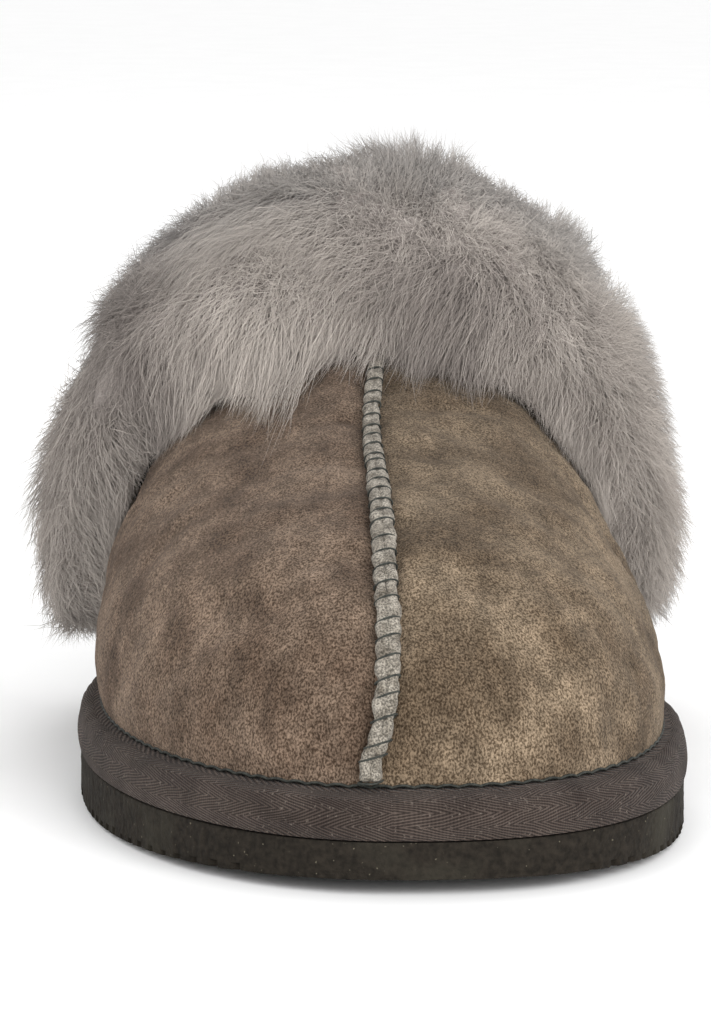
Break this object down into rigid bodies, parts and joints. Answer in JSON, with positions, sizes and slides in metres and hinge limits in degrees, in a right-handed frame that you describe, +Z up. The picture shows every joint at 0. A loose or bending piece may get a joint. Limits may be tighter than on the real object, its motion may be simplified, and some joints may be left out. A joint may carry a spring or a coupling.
{
  "type": "fluffy house slipper",
  "caption": "Backless right-foot house slipper: suede upper with an overcast centre seam, thick wool cuff, wool footbed, and a tape-wrapped platform on a ribbed rubber sole.",
  "frame": {"origin": "bottom centre of the whole slipper's box, on the floor under the middle of the sole's length", "axes": "toe towards -Y, heel towards +Y, inner (medial) side of the foot towards +X, +Z up"},
  "size_m": [0.1142, 0.2662, 0.1022],
  "materials": {
    "outsole_rubber": "matt near-black crepe rubber with fine cross ribs",
    "wrap_tape": "dark brown-grey herringbone twill tape",
    "sole_foam": "pale expanded foam, hidden inside the sole",
    "board": "pressed fibre board, hidden inside the sole",
    "skin": "undyed sheepskin",
    "wool": "dyed grey sheep's wool",
    "suede": "brushed taupe suede with a mottled nap",
    "raw_edge": "pale fibrous cut edge of sheepskin",
    "thread": "dark green-black twisted thread"
  },
  "bodies": {
    "root": {"outsole": "outsole_rubber", "platform_wrap": "wrap_tape", "midsole": "sole_foam", "insole_board": "board", "footbed_foam": "sole_foam", "footbed_hide": "skin", "footbed_pile": "wool", "vamp_lateral_hide": "suede", "vamp_medial_hide": "suede", "vamp_lateral_pile": "wool", "vamp_medial_pile": "wool", "vamp_lateral_seam_edge": "raw_edge", "vamp_medial_seam_edge": "raw_edge", "seam_thread": "thread", "feather_thread": "thread", "cuff_hide": "skin", "cuff_pile": "wool", "cuff_thread": "thread"}
  },
  "joints": []
}
